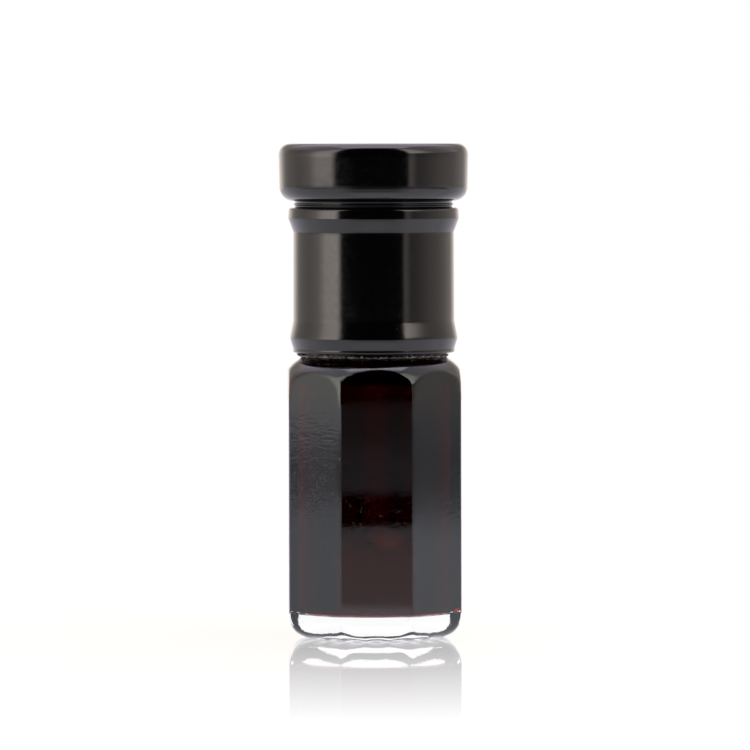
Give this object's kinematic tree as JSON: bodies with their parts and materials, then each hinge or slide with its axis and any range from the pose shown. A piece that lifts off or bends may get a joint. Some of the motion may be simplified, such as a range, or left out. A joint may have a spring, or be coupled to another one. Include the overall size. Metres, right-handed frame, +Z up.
{
  "type": "perfume oil bottle",
  "caption": "Small eight-sided clear glass bottle of dark perfume oil with a black screw cap whose stopper carries a glass dip rod.",
  "frame": {"origin": "middle of the standing face of the glass, on the axis of the bottle", "axes": "+Z up along the axis of the bottle and cap, -Y towards the flat of the glass that faces the picture's camera, +X to that camera's right"},
  "size_m": [0.0198, 0.0198, 0.0517],
  "materials": {
    "clear_glass": "polished clear pressed glass, faintly rippled",
    "brown_oil": "clear dark red-brown liquid",
    "clear_film": "torn clear plastic film",
    "white_plastic": "soft natural plastic",
    "rod_glass": "polished glass rod",
    "liner_plastic": "moulded, satin",
    "black_plastic": "high gloss black, light dust",
    "black_head": "high gloss black, light dust"
  },
  "bodies": {
    "bottle": {"glass_bottle": "clear_glass", "perfume_oil": "brown_oil", "seal_film": "clear_film"},
    "stopper_and_rod": {"stopper": "white_plastic", "dip_rod": "rod_glass"},
    "cap": {"thread_insert": "liner_plastic", "cap_sleeve": "black_plastic", "cap_head": "black_head"}
  },
  "joints": [
    {"name": "cap_lift", "type": "slide", "parent": "bottle", "child": "stopper_and_rod", "axis": [0, 0, 1], "range_m": [0, 0.00424]},
    {"name": "cap_turn", "type": "hinge", "parent": "stopper_and_rod", "child": "cap", "pos_m": [0, 0, 0.045], "axis": [0, 0, 1], "range_deg": [0, 720]}
  ],
  "couplings": [
    {"joint": "cap_lift", "follows": "cap_turn", "m_per_rad": 0.00033693}
  ]
}
